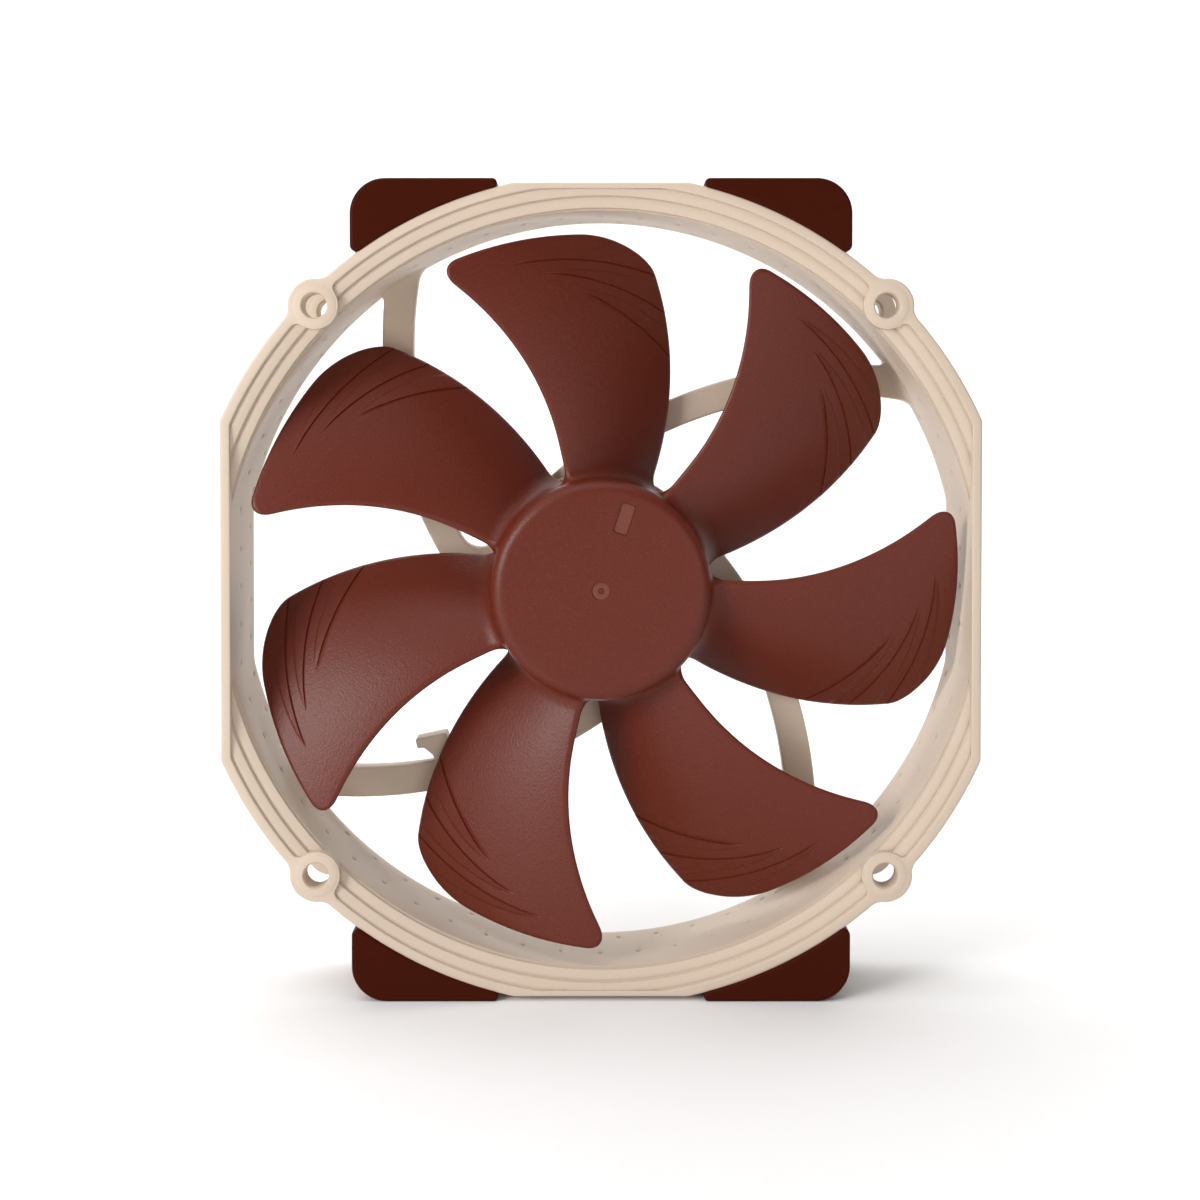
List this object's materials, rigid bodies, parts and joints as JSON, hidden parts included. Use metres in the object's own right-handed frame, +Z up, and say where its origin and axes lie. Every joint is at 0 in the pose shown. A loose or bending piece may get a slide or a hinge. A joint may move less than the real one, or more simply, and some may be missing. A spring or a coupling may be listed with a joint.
{
  "type": "case fan",
  "caption": "Round-frame axial case fan with a stepped inlet, curved rear struts, silicone corner pads and a swept-blade impeller on a brushless motor.",
  "frame": {"origin": "on the fan's axis, halfway through the depth of the frame", "axes": "air flows along +Y, so the inlet faces -Y; +Z is up, across the 150 mm height; +X is across the 140 mm width"},
  "size_m": [0.14, 0.0258, 0.1516],
  "materials": {
    "frame_plastic": "satin moulded beige plastic, fine grain",
    "pad_silicone": "dark brown silicone, soft satin",
    "impeller_plastic": "reddish brown moulded plastic, fine grain",
    "yoke_steel": "plated steel cup",
    "magnet_ferrite": "dark bonded ferrite",
    "bearing_brass": "turned brass",
    "sleeve_bronze": "porous sintered bronze",
    "shaft_steel": "ground hardened steel",
    "dark_polymer": "dark engineering polymer",
    "core_steel": "stacked electrical steel sheets",
    "insulator_plastic": "natural nylon",
    "copper_wire": "enamelled copper winding",
    "pin_brass": "tinned brass pins",
    "board_laminate": "green solder mask on glass laminate",
    "chip_black": "black moulding compound",
    "capacitor_ceramic": "ceramic body",
    "label_film": "plain printed film without any lettering"
  },
  "bodies": {
    "stator": {"frame": "frame_plastic", "pad_front_top_left": "pad_silicone", "pad_front_top_right": "pad_silicone", "pad_front_bottom_left": "pad_silicone", "pad_front_bottom_right": "pad_silicone", "pad_rear_top_left": "pad_silicone", "pad_rear_top_right": "pad_silicone", "pad_rear_bottom_left": "pad_silicone", "pad_rear_bottom_right": "pad_silicone", "bearing_shell": "bearing_brass", "bearing_sleeve": "sleeve_bronze", "seal_washer": "dark_polymer", "thrust_plate": "shaft_steel", "end_cap": "dark_polymer", "stator_core": "core_steel", "insulator_front": "insulator_plastic", "insulator_rear": "insulator_plastic", "coil_top": "copper_wire", "coil_right": "copper_wire", "coil_bottom": "copper_wire", "coil_left": "copper_wire", "terminal_pins": "pin_brass", "circuit_board": "board_laminate", "driver_chip": "chip_black", "hall_sensor": "chip_black", "capacitors": "capacitor_ceramic", "resistors": "chip_black", "rear_label": "label_film"},
    "rotor": {"impeller": "impeller_plastic", "rotor_yoke": "yoke_steel", "ring_magnet": "magnet_ferrite", "shaft_bush": "bearing_brass", "shaft": "shaft_steel", "retaining_ring": "dark_polymer"}
  },
  "joints": [
    {"name": "impeller_spin", "type": "hinge", "parent": "stator", "child": "rotor", "pos_m": [0, 0, 0], "axis": [0, -1, 0], "continuous": true}
  ]
}
